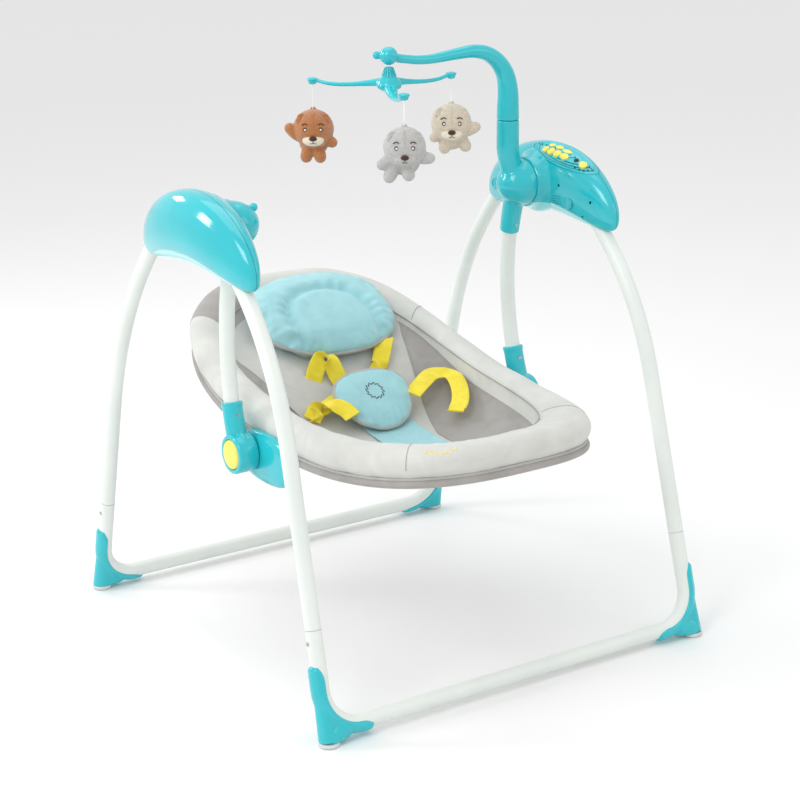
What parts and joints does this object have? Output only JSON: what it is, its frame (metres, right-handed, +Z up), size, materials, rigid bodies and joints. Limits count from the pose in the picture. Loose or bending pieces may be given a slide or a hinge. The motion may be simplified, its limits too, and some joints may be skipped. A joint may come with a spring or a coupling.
{
  "type": "baby swing",
  "caption": "Foldable baby swing: curved tube leg frames under side housings, a hanging, reclining padded seat with a harness, and an arm with a turning mobile of plush bears.",
  "frame": {"origin": "on the floor, midway between the feet, under the swing axis", "axes": "+Z up; the seat faces -Y; +X is on the side of the toy arm and the controls"},
  "size_m": [0.662, 0.6972, 0.8409],
  "materials": {
    "teal_plastic": "gloss",
    "pale_tube": "satin",
    "yellow_plastic": "gloss",
    "foot_rubber": "matte",
    "dark_plastic": "matte",
    "circuit_board": "satin",
    "copper_winding": "satin",
    "steel": "satin",
    "grey_fabric": "soft",
    "blue_fabric": "soft",
    "yellow_webbing": "woven",
    "cord": "woven",
    "beige_plush": "short pile",
    "brown_plush": "short pile",
    "grey_plush": "short pile"
  },
  "bodies": {
    "housings": {"housing_inner_right": "teal_plastic", "housing_inner_left": "teal_plastic", "housing_outer_right": "teal_plastic", "housing_outer_left": "teal_plastic", "battery_door": "teal_plastic", "battery_pack": "dark_plastic", "control_panel": "teal_plastic", "control_board": "circuit_board", "speaker": "dark_plastic", "drive_coil": "copper_winding", "front_fold_pin_right": "teal_plastic", "front_fold_pin_left": "teal_plastic", "rear_fold_pin_right": "teal_plastic", "rear_fold_pin_left": "teal_plastic"},
    "front_frame": {"front_base_tube": "pale_tube", "front_leg_right": "pale_tube", "front_leg_left": "pale_tube", "front_foot_right": "teal_plastic", "front_foot_left": "teal_plastic", "front_pad_right": "foot_rubber", "front_pad_left": "foot_rubber"},
    "rear_frame": {"rear_base_tube": "pale_tube", "rear_leg_right": "pale_tube", "rear_leg_left": "pale_tube", "rear_foot_right": "teal_plastic", "rear_foot_left": "teal_plastic", "rear_pad_right": "foot_rubber", "rear_pad_left": "foot_rubber"},
    "swing": {"hub_right": "teal_plastic", "hub_left": "teal_plastic", "hanger_right": "pale_tube", "hanger_left": "pale_tube", "knuckle_right": "teal_plastic", "knuckle_left": "teal_plastic", "swing_axle_right": "steel", "swing_axle_left": "steel", "drive_rocker": "steel"},
    "seat": {"recline_bracket_right": "teal_plastic", "recline_bracket_left": "teal_plastic", "seat_ring": "steel", "seat_sling": "grey_fabric", "head_pillow": "blue_fabric", "crotch_pad": "blue_fabric", "harness_right": "yellow_webbing", "harness_left": "yellow_webbing"},
    "recline_button_right": {"recline_button_right": "yellow_plastic"},
    "recline_button_left": {"recline_button_left": "yellow_plastic"},
    "toy_arm": {"toy_arm": "teal_plastic"},
    "mobile": {"mobile_spider": "teal_plastic"},
    "bear_beige": {"string_beige": "cord", "bear_beige": "beige_plush"},
    "bear_brown": {"string_brown": "cord", "bear_brown": "brown_plush"},
    "bear_grey": {"string_grey": "cord", "bear_grey": "grey_plush"},
    "leaf_button_1": {"leaf_button_1": "yellow_plastic"},
    "leaf_button_2": {"leaf_button_2": "yellow_plastic"},
    "leaf_button_3": {"leaf_button_3": "yellow_plastic"},
    "leaf_button_4": {"leaf_button_4": "yellow_plastic"},
    "power_button": {"power_button": "yellow_plastic"}
  },
  "joints": [
    {"name": "front_leg_fold", "type": "hinge", "parent": "housings", "child": "front_frame", "pos_m": [0, -0.0804, 0.599], "axis": [1, 0, 0], "range_deg": [0, 24]},
    {"name": "rear_leg_fold", "type": "hinge", "parent": "housings", "child": "rear_frame", "pos_m": [0, 0.1058, 0.599], "axis": [-1, 0, 0], "range_deg": [0, 24]},
    {"name": "seat_swing", "type": "hinge", "parent": "housings", "child": "swing", "pos_m": [0, 0, 0.621], "axis": [1, 0, 0], "range_deg": [-20, 20]},
    {"name": "seat_recline", "type": "hinge", "parent": "swing", "child": "seat", "pos_m": [0, -0.002, 0.298], "axis": [1, 0, 0], "range_deg": [-8, 12]},
    {"name": "recline_button_right_press", "type": "slide", "parent": "swing", "child": "recline_button_right", "axis": [-1, 0, 0], "range_m": [0, 0.003], "stiffness_N_per_m": 900},
    {"name": "recline_button_left_press", "type": "slide", "parent": "swing", "child": "recline_button_left", "axis": [1, 0, 0], "range_m": [0, 0.003], "stiffness_N_per_m": 900},
    {"name": "leaf_button_1_press", "type": "slide", "parent": "housings", "child": "leaf_button_1", "axis": [0.391, 0.276, -0.878], "range_m": [0, 0.0012], "stiffness_N_per_m": 600},
    {"name": "leaf_button_2_press", "type": "slide", "parent": "housings", "child": "leaf_button_2", "axis": [0.391, 0.276, -0.878], "range_m": [0, 0.0012], "stiffness_N_per_m": 600},
    {"name": "leaf_button_3_press", "type": "slide", "parent": "housings", "child": "leaf_button_3", "axis": [0.391, 0.276, -0.878], "range_m": [0, 0.0012], "stiffness_N_per_m": 600},
    {"name": "leaf_button_4_press", "type": "slide", "parent": "housings", "child": "leaf_button_4", "axis": [0.391, 0.276, -0.878], "range_m": [0, 0.0012], "stiffness_N_per_m": 600},
    {"name": "power_button_press", "type": "slide", "parent": "housings", "child": "power_button", "axis": [0.391, 0.276, -0.878], "range_m": [0, 0.0012], "stiffness_N_per_m": 600},
    {"name": "toy_arm_lift", "type": "slide", "parent": "swing", "child": "toy_arm", "axis": [0, 0, 1], "range_m": [0, 0.029]},
    {"name": "mobile_turn", "type": "hinge", "parent": "toy_arm", "child": "mobile", "pos_m": [0.0135, 0, 0.8], "axis": [0, 0, 1], "continuous": true},
    {"name": "bear_beige_hang", "type": "hinge", "parent": "mobile", "child": "bear_beige", "pos_m": [0.12776, 0.01302, 0.7812], "axis": [-0.1132, 0.9936, 0], "range_deg": [-20, 20]},
    {"name": "bear_brown_hang", "type": "hinge", "parent": "mobile", "child": "bear_brown", "pos_m": [-0.0549, 0.09244, 0.7812], "axis": [-0.8039, -0.5948, 0], "range_deg": [-20, 20]},
    {"name": "bear_grey_hang", "type": "hinge", "parent": "mobile", "child": "bear_grey", "pos_m": [-0.03236, -0.10546, 0.7812], "axis": [0.9171, -0.3987, 0], "range_deg": [-20, 20]}
  ]
}
